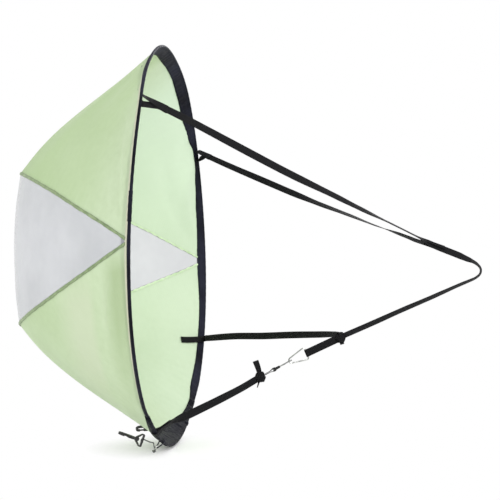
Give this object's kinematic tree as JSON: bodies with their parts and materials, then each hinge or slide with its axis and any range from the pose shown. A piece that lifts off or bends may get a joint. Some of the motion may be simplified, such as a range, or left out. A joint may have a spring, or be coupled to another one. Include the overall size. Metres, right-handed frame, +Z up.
{
  "type": "downwind paddle sail",
  "caption": "Round spring-hoop sail for a canoe or kayak, with a clear window across a green bowl, webbing reins to the paddler's hand and snap hooks for the deck.",
  "frame": {"origin": "foot of the hoop, midway between the two deck hooks' tabs, where the sail stands on the deck", "axes": "+X aft from the hoop's plane to the paddler's hand, +Y across the boat away from the picture's viewer, +Z up"},
  "size_m": [1.2512, 1.0894, 1.0703],
  "materials": {
    "black_webbing": "woven flat webbing",
    "rim_cloth": "smooth satin-faced binding",
    "green_cloth": "thin ripstop sailcloth",
    "seam_tape": "folded seam tape",
    "clear_vinyl": "clear flexible vinyl film",
    "glass_fibre": "pultruded glass fibre rod",
    "ferrule_metal": "plain drawn tube",
    "bright_wire": "bright plated wire",
    "black_plastic": "moulded acetal",
    "grey_cord": "braided cord"
  },
  "bodies": {
    "sail": {"upper_near_loop": "black_webbing", "upper_far_loop": "black_webbing", "lower_near_loop": "black_webbing", "upper_near_strap": "black_webbing", "upper_far_strap": "black_webbing", "hand_rein": "black_webbing", "knot_1": "black_webbing", "lower_far_strap": "black_webbing", "clip_strap": "black_webbing", "knot_2": "black_webbing", "knot_2_bight": "black_webbing", "lower_near_strap": "black_webbing", "rim_sleeve": "rim_cloth", "sleeve_end": "rim_cloth", "foot_patch": "rim_cloth", "near_ring_tab": "rim_cloth", "far_ring_tab": "rim_cloth", "upper_panel": "green_cloth", "lower_panel": "green_cloth", "upper_seam_tape": "seam_tape", "lower_seam_tape": "seam_tape", "window": "clear_vinyl", "hoop_rod": "glass_fibre", "rod_ferrule": "ferrule_metal", "pear_clip_body": "bright_wire", "small_snap_eye": "black_plastic"},
    "pear_clip_gate": {"pear_clip_gate": "bright_wire"},
    "small_snap": {"small_snap_body": "bright_wire"},
    "small_snap_gate": {"small_snap_gate": "bright_wire"},
    "near_tether_group": {"near_tether_ring": "bright_wire", "near_tether": "grey_cord"},
    "near_hook_eye": {"near_deck_hook_eye": "black_plastic"},
    "near_hook": {"near_deck_hook_body": "black_plastic"},
    "near_hook_gate": {"near_deck_hook_gate": "black_plastic"},
    "far_tether_group": {"far_tether_ring": "bright_wire", "far_tether": "grey_cord"},
    "far_hook_eye": {"far_deck_hook_eye": "black_plastic"},
    "far_hook": {"far_deck_hook_body": "black_plastic"},
    "far_hook_gate": {"far_deck_hook_gate": "black_plastic"}
  },
  "joints": [
    {"name": "pear_clip_gate_opens", "type": "hinge", "parent": "sail", "child": "pear_clip_gate", "pos_m": [0.33045, -0.03739, 0.2241], "axis": [0.3078, -0.9514, 0], "range_deg": [0, 25], "stiffness_Nm_per_rad": 0.02, "springref_deg": -17.19},
    {"name": "small_snap_swivel", "type": "hinge", "parent": "sail", "child": "small_snap", "pos_m": [0.28737, -0.05143, 0.21313], "axis": [0.849, 0.2784, 0.4492], "range_deg": [-12, 12]},
    {"name": "small_snap_gate_opens", "type": "hinge", "parent": "small_snap", "child": "small_snap_gate", "pos_m": [0.30177, -0.05329, 0.22074], "axis": [-0.4677, 0, 0.8839], "range_deg": [0, 22], "stiffness_Nm_per_rad": 0.01, "springref_deg": -17.19},
    {"name": "near_tether_swing", "type": "hinge", "parent": "sail", "child": "near_tether_group", "pos_m": [-0.01124, -0.18021, 0.02179], "axis": [0, -0.9474, 0.3202], "range_deg": [-20, 45]},
    {"name": "near_hook_eye_swing", "type": "hinge", "parent": "near_tether_group", "child": "near_hook_eye", "pos_m": [-0.03474, -0.25002, 0.04674], "axis": [0.308, 0.1921, 0.9318], "range_deg": [-60, 60]},
    {"name": "near_hook_swivel", "type": "hinge", "parent": "near_hook_eye", "child": "near_hook", "pos_m": [-0.04941, -0.25917, 0.05348], "axis": [-0.7906, -0.4931, 0.363], "continuous": true},
    {"name": "near_hook_gate_opens", "type": "hinge", "parent": "near_hook", "child": "near_hook_gate", "pos_m": [-0.06045, -0.27531, 0.05957], "axis": [-0.3616, -0.1024, -0.9267], "range_deg": [0, 35], "stiffness_Nm_per_rad": 0.02, "springref_deg": -17.19},
    {"name": "far_tether_swing", "type": "hinge", "parent": "sail", "child": "far_tether_group", "pos_m": [-0.01124, 0.18021, 0.02179], "axis": [0, -0.9474, -0.3202], "range_deg": [-20, 45]},
    {"name": "far_hook_eye_swing", "type": "hinge", "parent": "far_tether_group", "child": "far_hook_eye", "pos_m": [-0.08969, 0.2106, 0.01918], "axis": [-0.0765, -0.006, 0.9971], "range_deg": [-60, 60]},
    {"name": "far_hook_swivel", "type": "hinge", "parent": "far_hook_eye", "child": "far_hook", "pos_m": [-0.10813, 0.20915, 0.01776], "axis": [-0.994, -0.0782, -0.0767], "continuous": true},
    {"name": "far_hook_gate_opens", "type": "hinge", "parent": "far_hook", "child": "far_hook_gate", "pos_m": [-0.12607, 0.20088, 0.01237], "axis": [0.027, 0.5037, -0.8635], "range_deg": [0, 35], "stiffness_Nm_per_rad": 0.02, "springref_deg": -17.19}
  ]
}
